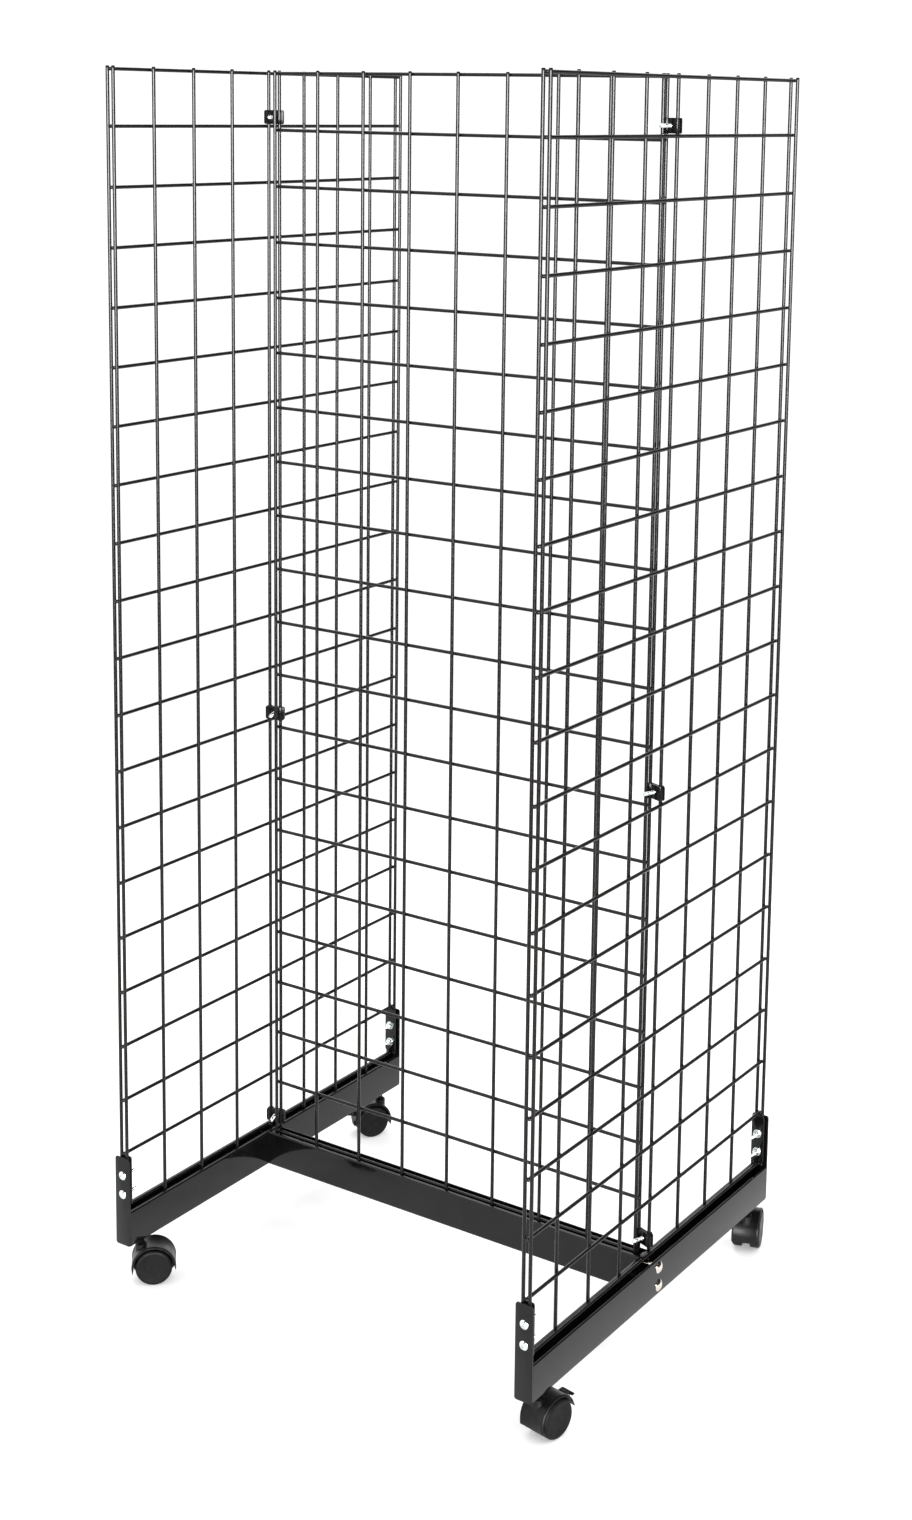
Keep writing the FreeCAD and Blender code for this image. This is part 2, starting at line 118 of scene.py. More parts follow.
# ---- materials -----------------------------------------------------------------------
class Paint:
    """A material's node tree with short calls for what the finishes share."""

    def __init__(self, name):
        self.material = bpy.data.materials.new(name)
        self.material.use_nodes = True
        self.tree = self.material.node_tree
        self.shader = self.tree.nodes["Principled BSDF"]
        self.coords = self.tree.nodes.new("ShaderNodeTexCoord").outputs["Object"]

    def link(self, out, socket):
        self.tree.links.new(out, socket)

    def noise(self, scale, detail=2.0, rough=0.5, stretch=(1, 1, 1)):
        """Noise in the object's own coordinates; scale is in waves to the metre."""
        mapping = self.tree.nodes.new("ShaderNodeMapping")
        mapping.inputs["Scale"].default_value = stretch
        self.link(self.coords, mapping.inputs["Vector"])
        node = self.tree.nodes.new("ShaderNodeTexNoise")
        node.inputs["Scale"].default_value = scale
        node.inputs["Detail"].default_value = detail
        node.inputs["Roughness"].default_value = rough
        self.link(mapping.outputs["Vector"], node.inputs["Vector"])
        return node.outputs["Fac"]

    def spread(self, value, low, high, start=0.3, end=0.7):
        """Maps a noise value to a range of numbers."""
        node = self.tree.nodes.new("ShaderNodeMapRange")
        node.inputs["From Min"].default_value = start
        node.inputs["From Max"].default_value = end
        node.inputs["To Min"].default_value = low
        node.inputs["To Max"].default_value = high
        self.link(value, node.inputs["Value"])
        return node.outputs["Result"]

    def colours(self, value, low, high, start=0.35, end=0.65):
        """Maps a noise value to a blend of two colours."""
        node = self.tree.nodes.new("ShaderNodeValToRGB")
        node.color_ramp.elements[0].position = start
        node.color_ramp.elements[0].color = (*low, 1)
        node.color_ramp.elements[1].position = end
        node.color_ramp.elements[1].color = (*high, 1)
        self.link(value, node.inputs["Fac"])
        return node.outputs["Color"]

    def bump(self, height, depth, under=None):
        """Relief of the given depth in metres, on top of another relief."""
        node = self.tree.nodes.new("ShaderNodeBump")
        node.inputs["Strength"].default_value = 1.0
        node.inputs["Distance"].default_value = depth
        self.link(height, node.inputs["Height"])
        if under is not None:
            self.link(under, node.inputs["Normal"])
        return node.outputs["Normal"]

    def finish(self, colour, roughness, normal, metallic=0.0, specular=0.5, coat=0.0, coat_rough=0.1):
        self.link(colour, self.shader.inputs["Base Color"])
        self.link(roughness, self.shader.inputs["Roughness"])
        self.link(normal, self.shader.inputs["Normal"])
        self.shader.inputs["Metallic"].default_value = metallic
        self.shader.inputs["Specular IOR Level"].default_value = specular
        self.shader.inputs["Coat Weight"].default_value = coat
        self.shader.inputs["Coat Roughness"].default_value = coat_rough
        return self.material


def wire_paint():
    """Black powder coat on drawn wire: fine orange peel, slight warm cast."""
    p = Paint("grid_wire_black")
    colour = p.colours(p.noise(60, 3), (0.0045, 0.0036, 0.0034), (0.010, 0.0082, 0.0078))
    rough = p.spread(p.noise(240, 2), 0.16, 0.26)
    relief = p.bump(p.noise(420, 2), 0.000012)
    return p.finish(colour, rough, relief, specular=0.26)


def base_paint():
    """Glossy black powder coat on folded sheet: orange peel over a faint waviness, light dust."""
    p = Paint("base_steel_black")
    colour = p.colours(p.noise(35, 5, 0.6), (0.0035, 0.0035, 0.0038), (0.008, 0.0079, 0.0082))
    rough = p.spread(p.noise(90, 4), 0.05, 0.13)
    wave = p.bump(p.noise(14, 1), 0.00002)
    relief = p.bump(p.noise(520, 2), 0.000006, wave)
    return p.finish(colour, rough, relief, specular=0.27)


def clip_paint():
    """Deep black e-coat on small stamped plates."""
    p = Paint("clip_steel_black")
    colour = p.colours(p.noise(300, 3), (0.004, 0.004, 0.0045), (0.011, 0.011, 0.0115))
    rough = p.spread(p.noise(500, 3), 0.10, 0.18)
    relief = p.bump(p.noise(900, 2), 0.00002)
    return p.finish(colour, rough, relief, specular=0.14)


def zinc_plate():
    """Bright blue-white zinc with faint turning marks and cloudy patches."""
    p = Paint("zinc_plate")
    colour = p.colours(p.noise(420, 4), (0.62, 0.68, 0.69), (0.86, 0.89, 0.88))
    rough = p.spread(p.noise(700, 3), 0.16, 0.36)
    relief = p.bump(p.noise(2200, 2), 0.00001)
    return p.finish(colour, rough, relief, metallic=1.0)


def nickel_plate():
    """Polished nickel, a little warm, with tiny handling marks."""
    p = Paint("nickel_plate")
    colour = p.colours(p.noise(260, 3), (0.60, 0.54, 0.49), (0.76, 0.70, 0.64))
    rough = p.spread(p.noise(600, 5, 0.7), 0.07, 0.20)
    relief = p.bump(p.noise(420, 2), 0.00002)
    return p.finish(colour, rough, relief, metallic=1.0)


def hood_plastic():
    """Satin black nylon with a fine moulded grain, worn a little smoother in patches."""
    p = Paint("hood_nylon")
    colour = p.colours(p.noise(120, 4), (0.005, 0.005, 0.0053), (0.010, 0.010, 0.0104))
    rough = p.spread(p.noise(80, 4), 0.30, 0.46)
    relief = p.bump(p.noise(1500, 3, 0.6), 0.00003)
    return p.finish(colour, rough, relief, specular=0.16)


def wheel_plastic():
    """Matte black nylon with a coarser spark-eroded grain and light dust on the tread."""
    p = Paint("wheel_nylon")
    colour = p.colours(p.noise(160, 5, 0.6), (0.006, 0.006, 0.0062), (0.012, 0.0118, 0.0116))
    rough = p.spread(p.noise(110, 3), 0.36, 0.52)
    relief = p.bump(p.noise(1100, 4, 0.65), 0.00004)
    return p.finish(colour, rough, relief, specular=0.1)


MATERIALS = {
    "grid_wire": wire_paint(),
    "base_steel": base_paint(),
    "clip_steel": clip_paint(),
    "zinc": zinc_plate(),
    "nickel": nickel_plate(),
    "hood_plastic": hood_plastic(),
    "wheel_plastic": wheel_plastic(),
}


# ---- mesh building -------------------------------------------------------------------
class Solid:
    """Collects closed shells for one piece."""

    def __init__(self):
        self.verts = []
        self.faces = []

    def add(self, verts, faces, place=None):
        start = len(self.verts)
        self.verts += [place @ Vector(v) if place else Vector(v) for v in verts]
        self.faces += [[start + i for i in face] for face in faces]
        return self

    def join(self, other, place=None):
        return self.add(other.verts, other.faces, place)

    def rings(self, rings, place=None, loop=False):
        """Skin from ring to ring, closed by a face at each end unless it loops round."""
        count = len(rings[0])
        verts = [v for ring in rings for v in ring]
        faces = []
        for i in range(len(rings) if loop else len(rings) - 1):
            a, b = i * count, (i + 1) % len(rings) * count
            for j in range(count):
                k = (j + 1) % count
                faces.append([a + j, a + k, b + k, b + j])
        if not loop:
            faces.append(list(range(count))[::-1])
            faces.append(list(range(len(verts) - count, len(verts))))
        return self.add(verts, faces, place)

    def mesh(self, name):
        data = bpy.data.meshes.new(name)
        data.from_pydata([tuple(v) for v in self.verts], [], self.faces)
        tool = bmesh.new()
        tool.from_mesh(data)
        bmesh.ops.remove_doubles(tool, verts=tool.verts, dist=1e-7)
        bmesh.ops.recalc_face_normals(tool, faces=tool.faces)
        tool.to_mesh(data)
        tool.free()
        return data

    def piece(self, name, slot, body, nodes=(), bevel=0.0, segments=2, sharp=35):
        """Makes the object, softens its edges, paints it and hands it to its body."""
        obj = bpy.data.objects.new(name, self.mesh(name))
        bpy.context.scene.collection.objects.link(obj)
        if bevel:
            soften(obj, bevel, segments)
        obj.data.polygons.foreach_set("use_smooth", [True] * len(obj.data.polygons))
        obj.data.set_sharp_from_angle(angle=math.radians(sharp))
        obj.data.materials.clear()
        obj.data.materials.append(MATERIALS[slot])
        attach(obj, body)
        if nodes:
            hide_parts(*nodes)
        return obj


def bake(obj):
    """Applies the object's modifiers to its mesh."""
    shown = obj.evaluated_get(bpy.context.evaluated_depsgraph_get())
    data = bpy.data.meshes.new_from_object(shown)
    obj.modifiers.clear()
    old = obj.data
    obj.data = data
    bpy.data.meshes.remove(old)


def soften(obj, width, segments):
    """Rounds every edge sharper than 30 degrees."""
    tool = obj.modifiers.new("edges", "BEVEL")
    tool.width = width
    tool.segments = segments
    tool.limit_method = "ANGLE"
    tool.angle_limit = math.radians(30)
    tool.use_clamp_overlap = True
    bake(obj)


def carve(body, tools, operation):
    """Boolean of one solid with others; gives a new solid."""
    objects = []
    for i, solid in enumerate([body] + tools):
        obj = bpy.data.objects.new("carve_%d" % i, solid.mesh("carve_%d" % i))
        bpy.context.scene.collection.objects.link(obj)
        objects.append(obj)
    for tool in objects[1:]:
        step = objects[0].modifiers.new("step", "BOOLEAN")
        step.operation = operation
        step.object = tool
        step.solver = "EXACT"
    bpy.context.view_layer.update()
    bake(objects[0])
    result = Solid().add([v.co.copy() for v in objects[0].data.vertices],
                         [list(p.vertices) for p in objects[0].data.polygons])
    for obj in objects:
        bpy.data.objects.remove(obj)
    return result


def frame_at(origin, along, up=None):
    """Placement whose Z runs along a direction; up fixes its X where given."""
    z = Vector(along).normalized()
    x = Vector(up).normalized() if up is not None else z.orthogonal().normalized()
    y = z.cross(x)
    rows = Matrix((x, y, z)).transposed().to_4x4()
    return Matrix.Translation(Vector(origin)) @ rows


def circle(radius, height, sides, turn=0.0):
    return [Vector((radius * math.cos(turn + math.tau * k / sides),
                    radius * math.sin(turn + math.tau * k / sides), height)) for k in range(sides)]


def lathe(profile, sides, place=None):
    """Solid turned from (radius, height) points; it starts and ends with a flat or pointed face."""
    return Solid().rings([circle(max(r, 1e-6), h, sides) for r, h in profile], place)


def lathe_loop(profile, sides, place=None):
    """Ring-shaped solid turned from a closed outline of (radius, height) points."""
    return Solid().rings([circle(r, h, sides) for r, h in profile], place, loop=True)


def rounded(corners, steps=4):
    """Outline from (a, b, radius) corners, with each corner turned into an arc."""
    points = []
    count = len(corners)
    for i, (a, b, radius) in enumerate(corners):
        here = Vector((a, b))
        if radius <= 0:
            points.append(here)
            continue
        to_last = (Vector(corners[i - 1][:2]) - here).normalized()
        to_next = (Vector(corners[(i + 1) % count][:2]) - here).normalized()
        half = to_last.angle(to_next) / 2
        reach = radius / math.tan(half)
        centre = here + (to_last + to_next).normalized() * (radius / math.sin(half))
        start = here + to_last * reach - centre
        end = here + to_next * reach - centre
        turn = start.angle_signed(end)
        for k in range(steps + 1):
            spin = Matrix.Rotation(-turn * k / steps, 2)
            points.append(centre + spin @ start)
    return points


def prism(outline, low, high, place=None):
    """Solid between two heights over a plan outline."""
    return Solid().rings([[Vector((p[0], p[1], h)) for p in outline] for h in (low, high)], place)


def plate_outline(width, height, radius):
    half_w, half_h = width / 2, height / 2
    return rounded([(-half_w, -half_h, radius), (half_w, -half_h, radius),
                    (half_w, half_h, radius), (-half_w, half_h, radius)])


def thread(major, pitch, start, end, place=None, sides=18):
    """Threaded shank between two heights, with a real helix."""
    minor = major - 0.6 * pitch
    steps = max(2, int((end - start) / pitch * 6))
    rings = [circle(minor * 0.85, start - 0.3 * pitch, sides)]
    for i in range(steps + 1):
        height = start + (end - start) * i / steps
        ring = []
        for k in range(sides):
            phase = (height / pitch - k / sides) % 1.0
            crest = 1 - abs(2 * phase - 1)
            radius = minor + (major - minor) * min(1.0, 1.25 * crest)
            angle = math.tau * k / sides
            ring.append(Vector((radius * math.cos(angle), radius * math.sin(angle), height)))
        rings.append(ring)
    rings.append(circle(minor * 0.85, end + 0.3 * pitch, sides))
    return Solid().rings(rings, place)


def hex_body(flats, height, bore=0.0):
    """Hexagon with chamfered corners, from height 0 up, with an optional bore."""
    reach = flats / 2 / math.cos(math.pi / 6)
    cut = reach - flats / 2 * 1.02
    hexagon = prism([(p.x, p.y) for p in circle(reach, 0, 6)], 0, height)
    drop = cut * 0.6
    envelope = lathe([(flats / 2 * 0.97, -0.01 * MM), (reach * 1.01, drop), (reach * 1.01, height - drop),
                      (flats / 2 * 0.97, height + 0.01 * MM)], 48)
    body = carve(hexagon, [envelope], "INTERSECT")
    if bore:
        body = carve(body, [lathe([(bore, -1 * MM), (bore, height + MM)], 32)], "DIFFERENCE")
    return body


def middle(node):
    low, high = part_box(node)
    return (low + high) / 2


# ---- grid panels -----------------------------------------------------------------------
def bowed_wire(start, end, sideways, bow, sides=12):
    """One wire with trimmed, slightly rounded ends and a bow too small to notice by itself.

    A ring close to each end keeps the tip's shading from reaching along the first stretch.
    """
    start, end = Vector(start), Vector(end)
    along = (end - start).normalized()
    length = (end - start).length
    other = along.cross(sideways)
    trim, settled = 0.5 * MM, 4.0 * MM
    straight = [trim] + [settled + (length - 2 * settled) * k / 12 for k in range(13)] + [length - trim]
    stops = [(0.0, WIRE_R - trim)] + [(distance, WIRE_R) for distance in straight]
    stops.append((length, WIRE_R - trim))
    rings = []
    for distance, radius in stops:
        centre = start + along * distance + sideways * (bow * math.sin(math.pi * distance / length))
        rings.append([centre + (sideways * math.cos(math.tau * k / sides)
                                + other * math.sin(math.tau * k / sides)) * radius
                      for k in range(sides)])
    return Solid().rings(rings)


def weld(centre, across, depth):
    """The metal squeezed out where two wires are welded: a small flattened bead."""
    size = RNG.uniform(0.9, 1.15)
    wide, thick = 2.15 * MM * size, 1.25 * MM
    rings = []
    for i in range(1, 6):
        lift = math.cos(math.pi * i / 6)
        reach = math.sin(math.pi * i / 6)
        ring = []
        for k in range(10):
            angle = math.tau * k / 10
            ring.append(centre + depth * (thick * lift)
                        + across * (wide * reach * math.cos(angle)) + Z * (wide * reach * math.sin(angle)))
        rings.append(ring)
    return rings


def panel(name):
    """One grid panel: its three wire nodes again as smooth wires, and its welds."""
    nodes = ["panel_%s_%s" % (name, kind) for kind in ("uprights", "edges", "cross")]
    low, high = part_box(nodes[0])
    face = middle(nodes[0])
    step = middle(nodes[2]) - face
    across = X if abs(step.y) > abs(step.x) else Y
    depth = (step - Z * step.z - across * step.dot(across)).normalized()
    face = depth * face.dot(depth)
    top = high.z - TIP_RISE
    lift = 0.0 if name == "centre" else SIDE_LIFT
    heights = [top] + [top - k * PITCH + lift for k in range(1, BAYS_UP + 1)]
    stations = [-EDGE] + [k * PITCH for k in range(-3, 4)] + [EDGE]
    uprights, edges, cross, welds = Solid(), Solid(), Solid(), Solid()

    def at(station, layer, height):
        return face + across * station + depth * (2 * WIRE_R * layer) + Z * height

    for station in stations:
        bow = RNG.uniform(-0.5, 0.5) * MM
        uprights.join(bowed_wire(at(station, 0, low.z), at(station, 0, high.z), across, bow))
        for height in heights:
            welds.rings(weld(at(station, 0.5, height), across, depth))
    for station in (-EDGE, EDGE):
        edges.join(bowed_wire(at(station, 2, low.z), at(station, 2, high.z), across, 0.15 * MM))
        for height in heights:
            welds.rings(weld(at(station, 1.5, height), across, depth))
    for height in heights:
        bow = RNG.uniform(-0.4, 0.4) * MM
        cross.join(bowed_wire(at(-CROSS_END, 1, height), at(CROSS_END, 1, height), Z, bow))
    uprights.piece(name + "_upright_wires", "grid_wire", "frame", nodes[:1], sharp=50)
    edges.piece(name + "_edge_wires", "grid_wire", "frame", nodes[1:2], sharp=50)
    cross.piece(name + "_cross_wires", "grid_wire", "frame", nodes[2:], sharp=50)
    welds.piece(name + "_welds", "grid_wire", "frame", sharp=80)


# ---- base ------------------------------------------------------------------------------
def channel_outline(low, high):
    """Section of a rail: a lip wall at 0, open on top, a wall with a rolled edge at the rail's width."""
    inner = BEND_R - SHEET
    edge = 0.4 * MM
    return rounded([
        (RAIL_W, high, 2.0 * MM), (RAIL_W, low, BEND_R), (0, low, BEND_R), (0, high, BEND_R),
        (LIP, high, edge), (LIP, high - SHEET, edge), (SHEET, high - SHEET, inner),
        (SHEET, low + SHEET, inner), (RAIL_W - SHEET, low + SHEET, inner),
        (RAIL_W - SHEET, high - SHEET, edge), (RAIL_W - HEM, high - SHEET, edge / 2),
        (RAIL_W - HEM, high, edge / 2)])


def rail(name, length_axis, inward):
    """A rail along an axis; inward is the way its lip wall faces."""
    low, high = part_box(name)
    ends = (low.dot(length_axis), high.dot(length_axis))
    sideways = Vector(inward)
    face = max(low.dot(sideways), high.dot(sideways))
    outline = channel_outline(low.z, high.z)
    rings = []
    for k in range(9):
        at = ends[0] + (ends[1] - ends[0]) * k / 8
        rings.append([length_axis * at + sideways * (face - p.x) + Z * p.y for p in outline])
    return Solid().rings(rings)


def flange(side):
    """Closed end of the cross rail, which takes the bolts."""
    low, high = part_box("rail_cross")
    end = high.x if side > 0 else low.x
    outline = rounded([(low.y + SHEET, low.z + SHEET, MM), (high.y - SHEET, low.z + SHEET, MM),
                       (high.y - SHEET, high.z - SHEET, 2 * MM), (low.y + SHEET, high.z - SHEET, 2 * MM)])
    rings = [[Vector((x, p.x, p.y)) for p in outline] for x in (end - side * PLATE_T, end)]
    return Solid().rings(rings)


def rails():
    rail("rail_left", Y, X).piece("left_rail", "base_steel", "frame", ["rail_left"])
    rail("rail_right", Y, -X).piece("right_rail", "base_steel", "frame", ["rail_right"])
    cross = rail("rail_cross", X, -Y)
    for side in (-1, 1):
        cross.join(flange(side))
    cross.piece("cross_rail", "base_steel", "frame", ["rail_cross"])


def upright_plate(node, name, radius):
    """A small flat plate that stands facing along Y, with rounded corners and softened edges."""
    low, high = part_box(node)
    size, centre = high - low, (low + high) / 2
    outline = plate_outline(size.x, size.z, radius)
    place = frame_at(centre, -Y, X)
    prism(outline, -size.y / 2, size.y / 2, place).piece(
        name, "base_steel", "frame", [node], bevel=0.35 * MM, segments=3)


def end_hardware(side, sign):
    """End plates, clamp bars, and their screws, washers and nuts, for one side rail."""
    low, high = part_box("end_screws_%s" % side)
    screw_x = (low.x + high.x) / 2
    screw_z = (low.z + SCREW_HEAD_R, high.z - SCREW_HEAD_R)
    screws, nuts = Solid(), Solid()
    for end, way in (("front", -1), ("back", 1)):
        plate, bar = "end_plate_%s_%s" % (side, end), "clamp_bar_%s_%s" % (side, end)
        upright_plate(plate, "%s_%s_end_plate" % (side, end), 3.5 * MM)
        upright_plate(bar, "%s_%s_clamp_bar" % (side, end), 3.0 * MM)
        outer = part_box(plate)[1].y if way > 0 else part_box(plate)[0].y
        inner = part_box(bar)[0].y if way > 0 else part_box(bar)[1].y
        tip = (high.y - SCREW_HEAD_H - 27 * MM) * way
        for i, z in enumerate(screw_z):
            turn = Matrix.Rotation(0.4 + 1.1 * i + 0.7 * way + sign, 4, "Z")
            place = frame_at((screw_x, outer, z), Y * way, X) @ turn
            screws.join(SCREW_HEAD, place)
            length = abs(outer - tip)
            screws.join(thread(SCREW_R, 0.7 * MM, -length, -0.1 * MM), place)
            behind = frame_at((screw_x, inner, z), -Y * way, X) @ turn
            nuts.join(WASHER, behind)
            nuts.join(SMALL_NUT, behind @ Matrix.Translation(Z * MM))
    screws.piece("%s_end_screws" % side, "zinc", "frame", ["end_screws_%s" % side], sharp=40)
    nuts.piece("%s_end_nuts" % side, "zinc", "frame", ["end_nuts_%s" % side], sharp=25)


def rail_hardware(side, sign):
    """Round-head bolts through a side rail and their nuts inside the cross rail's end."""
    low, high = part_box("rail_bolts_%s" % side)
    bolt_y = (low.y + high.y) / 2
    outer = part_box("rail_%s" % side)[1].x if sign > 0 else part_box("rail_%s" % side)[0].x
    tip = low.x if sign > 0 else high.x
    nut_low, nut_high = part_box("rail_nuts_%s" % side)
    seat = nut_high.x if sign > 0 else nut_low.x
    bolts, nuts = Solid(), Solid()
    for z in (low.z + DOME_R, high.z - DOME_R):
        place = frame_at((outer, bolt_y, z), X * sign, Y)
        bolts.join(dome_head(), place)
        bolts.join(lathe([(BOLT_R, 0), (BOLT_R, -abs(outer - seat) + 3 * MM)], 24), place)
        bolts.join(thread(BOLT_R, MM, -abs(outer - tip), -abs(outer - seat) + 3 * MM), place)
        nuts.join(BIG_NUT, frame_at((seat, bolt_y, z), -X * sign, Y) @ Matrix.Rotation(z * 40, 4, "Z"))
    bolts.piece("%s_rail_bolts" % side, "nickel", "frame", ["rail_bolts_%s" % side], sharp=40)
    nuts.piece("%s_rail_nuts" % side, "zinc", "frame", ["rail_nuts_%s" % side], sharp=25)


def cap_profile(radius, height, steps, rim):
    """Outline of a domed head from its rim to its top."""
    ball = (radius * radius + (height - rim) ** 2) / (2 * (height - rim))
    points = [(radius * 0.97, 0), (radius, 0.25 * rim), (radius, rim)]
    for k in range(1, steps + 1):
        r = radius * math.cos(math.pi / 2 * k / steps)
        points.append((r, height - ball + math.sqrt(ball * ball - r * r)))
    return points


def dome_head():
    return lathe(cap_profile(DOME_R, DOME_H, 9, 0.5 * MM), 40)


def screw_head():
    """Truss head with a cross recess."""
    head = lathe(cap_profile(SCREW_HEAD_R, SCREW_HEAD_H, 8, 0.5 * MM), 40)
    reach, half, floor = 2.7 * MM, 0.6 * MM, SCREW_HEAD_H - 1.6 * MM
    slots = []
    for turn in (0, math.pi / 2):
        spin = Matrix.Rotation(turn, 4, "Z")
        rings = []
        for scale, height in ((0.45, floor), (1.0, SCREW_HEAD_H + MM)):
            rings.append([Vector((x * reach * scale, y * half, height))
                          for x, y in ((-1, -1), (1, -1), (1, 1), (-1, 1))])
        slots.append(Solid().rings(rings, spin))
    return carve(head, slots, "DIFFERENCE")


SCREW_HEAD = screw_head()
WASHER = lathe_loop([(SCREW_R + 0.1 * MM, 0), (6.0 * MM, 0), (6.0 * MM, 1.0 * MM),
                     (SCREW_R + 0.1 * MM, 1.0 * MM)], 36)
SMALL_NUT = hex_body(9.0 * MM, 3.6 * MM, SCREW_R + 0.1 * MM)
BIG_NUT = hex_body(10.0 * MM, 3.6 * MM, BOLT_R + 0.1 * MM)
BOLT_HEX = hex_body(8.0 * MM, 3.6 * MM)


# ---- joining clips ---------------------------------------------------------------------
def clip_frame(side):
    """The clips' turned plan frame: X along the plates, Y to the back; and its two wires in it."""
    side_x = abs(middle("panel_%s_uprights" % side).x)
    edge_y = middle("panel_centre_uprights").y + 4 * WIRE_R
    origin = Vector(((side_x + EDGE) / 2, edge_y / 2))
    spin = Matrix.Rotation(CLIP_TURN, 2)
    return origin, spin @ (Vector((EDGE, edge_y)) - origin), spin @ (Vector((side_x, 0)) - origin)


def arc(centre, radius, start, end, steps):
    """Points along an arc in plan."""
    turns = [start + (end - start) * k / steps for k in range(steps + 1)]
    return [Vector((centre.x + radius * math.cos(a), centre.y + radius * math.sin(a))) for a in turns]


def plate_side(left, right, radius, level, fall):
    """One face of a clip's front plate in plan, left to right: lip, deep groove, web, half groove, lip."""
    lip_turn = math.asin(level / radius)
    end = Vector((-CLIP_HALF, left.y - level))
    groove = arc(left, radius, math.pi + lip_turn, 2 * math.pi - fall, 20)
    half_groove = arc(right, radius, 1.5 * math.pi, 2 * math.pi - lip_turn, 12)
    far_end = Vector((CLIP_HALF, right.y - level))
    lip = [end.lerp(groove[0], t) for t in (0, 0.04, 0.14, 0.32, 0.6)]
    far_lip = [half_groove[-1].lerp(far_end, t) for t in (0.4, 0.68, 0.86, 0.96, 1)]
    web = Vector((left.x + radius * math.cos(fall) + CLIP_T / 4, -level))
    return lip + groove + [web] + half_groove + far_lip


def clip_plate(left, right):
    """Front plate of a clip, its upright corners rounded."""
    inside, outside = CLIP_GAP / 2, CLIP_GAP / 2 + CLIP_T
    groove = right.y + inside
    inner = plate_side(left, right, groove, inside, 0.0)
    rounding = groove + CLIP_T
    outer = plate_side(left, right, rounding, outside, math.asin((outside + left.y) / rounding))
    corner = 3.0 * MM
    rings = []
    for p, q in zip(inner, outer):
        short = corner - min(max(CLIP_HALF - abs(p.x), 0), corner)
        half = CLIP_H / 2 - corner + math.sqrt(corner ** 2 - short ** 2)
        rings.append([Vector((p.x, p.y, -half)), Vector((p.x, p.y, half)),
                      Vector((q.x, q.y, half)), Vector((q.x, q.y, -half))])
    return Solid().rings(rings)


def clip_bolt():
    """Clip bolt along Z: head and washer behind the plates, threaded tail in front of them."""
    face = CLIP_GAP / 2 + CLIP_T
    head = -face - 2.6 * MM
    bolt = lathe([(CLIP_BOLT_R, head), (CLIP_BOLT_R, face - MM)], 24)
    bolt.join(thread(CLIP_BOLT_R, 0.8 * MM, face - MM, face + CLIP_TAIL))
    bolt.join(lathe([(2.9 * MM, head), (3.1 * MM, head + 0.2 * MM), (3.1 * MM, -face - 0.05 * MM)], 32))
    return bolt.join(BOLT_HEX, frame_at((0, 0, head), -Z, X))


def clips(side, sign):
    """Three clips along one joint of the stand: front plates, back plates and bolts."""
    origin, left, right = clip_frame(side)
    low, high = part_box("clip_fronts_%s" % side)
    plate = clip_plate(left, right)
    bolt = clip_bolt()
    fronts, backs, bolts = Solid(), Solid(), Solid()
    for z in (low.z + CLIP_H / 2, CLIP_MID_Z, high.z - CLIP_H / 2):
        place = Matrix.Translation((origin.x, origin.y, z)) @ Matrix.Rotation(-CLIP_TURN, 4, "Z")
        if sign < 0:
            place = Matrix.Scale(-1, 4, X) @ place
        fronts.join(plate, place)
        backs.join(plate, place @ Matrix.Rotation(math.pi, 4, "Z"))
        bolts.join(bolt, place @ frame_at((CLIP_BOLT_X, 0, 0), -Y, X))
    fronts.piece("%s_clip_fronts" % side, "clip_steel", "frame", ["clip_fronts_%s" % side],
                 bevel=0.4 * MM, segments=3)
    backs.piece("%s_clip_backs" % side, "clip_steel", "frame", ["clip_backs_%s" % side],
                bevel=0.4 * MM, segments=3)
    bolts.piece("%s_clip_bolts" % side, "zinc", "frame", ["clip_bolts_%s" % side], sharp=30)


# ---- casters ---------------------------------------------------------------------------
def turned_y(profile, sides=64):
    """Solid turned about Y from (radius, y) points."""
    return lathe(profile, sides, frame_at((0, 0, 0), Y, X))


def fender(back_end):
    """The hood's arched cover: a raised rim along both edges and walls that thin to its ends."""
    rim, drop, taper = 0.3 * MM, 0.9 * MM, 7 * MM
    half = [(HOOD_HALF - 0.8 * MM, HOOD_R0), (HOOD_HALF, HOOD_R0 + 0.6 * MM), (HOOD_HALF, HOOD_R1 - 1.1 * MM),
            (HOOD_HALF - drop, HOOD_R1), (HOOD_HALF - 1.9 * MM, HOOD_R1 + rim),
            (HOOD_HALF - 2.9 * MM, HOOD_R1 + rim), (HOOD_HALF - 3.6 * MM, HOOD_R1)]
    outline = half + [(-y, r) for y, r in half[::-1]]
    first = math.asin(back_end / HOOD_R1)
    last = math.pi - math.asin(HOOD_FRONT_END / HOOD_R1)
    count = 64
    rings = []
    for k in range(count + 1):
        angle = first + (last - first) * k / count
        near_end = min(angle - first, last - angle) * HOOD_R1
        wall = min(1.0, 0.25 + 0.75 * near_end / taper)
        ring = [(y, HOOD_R1 + (r - HOOD_R1) * wall) for y, r in outline]
        rings.append([Vector((r * math.cos(angle), y, r * math.sin(angle))) for y, r in ring])
    return Solid().rings(rings)


def web():
    """The wall between the wheels that carries the axle."""
    radius = HOOD_R0 + 0.5 * MM
    first = math.asin(HOOD_FRONT_END / radius)
    outline = []
    for k in range(41):
        angle = first + (math.pi - 2 * first) * k / 40
        outline.append((radius * math.cos(angle), radius * math.sin(angle)))
    rings = [[Vector((x, y, z)) for x, z in outline] for y in (-WEB_HALF, WEB_HALF)]
    return Solid().rings(rings)


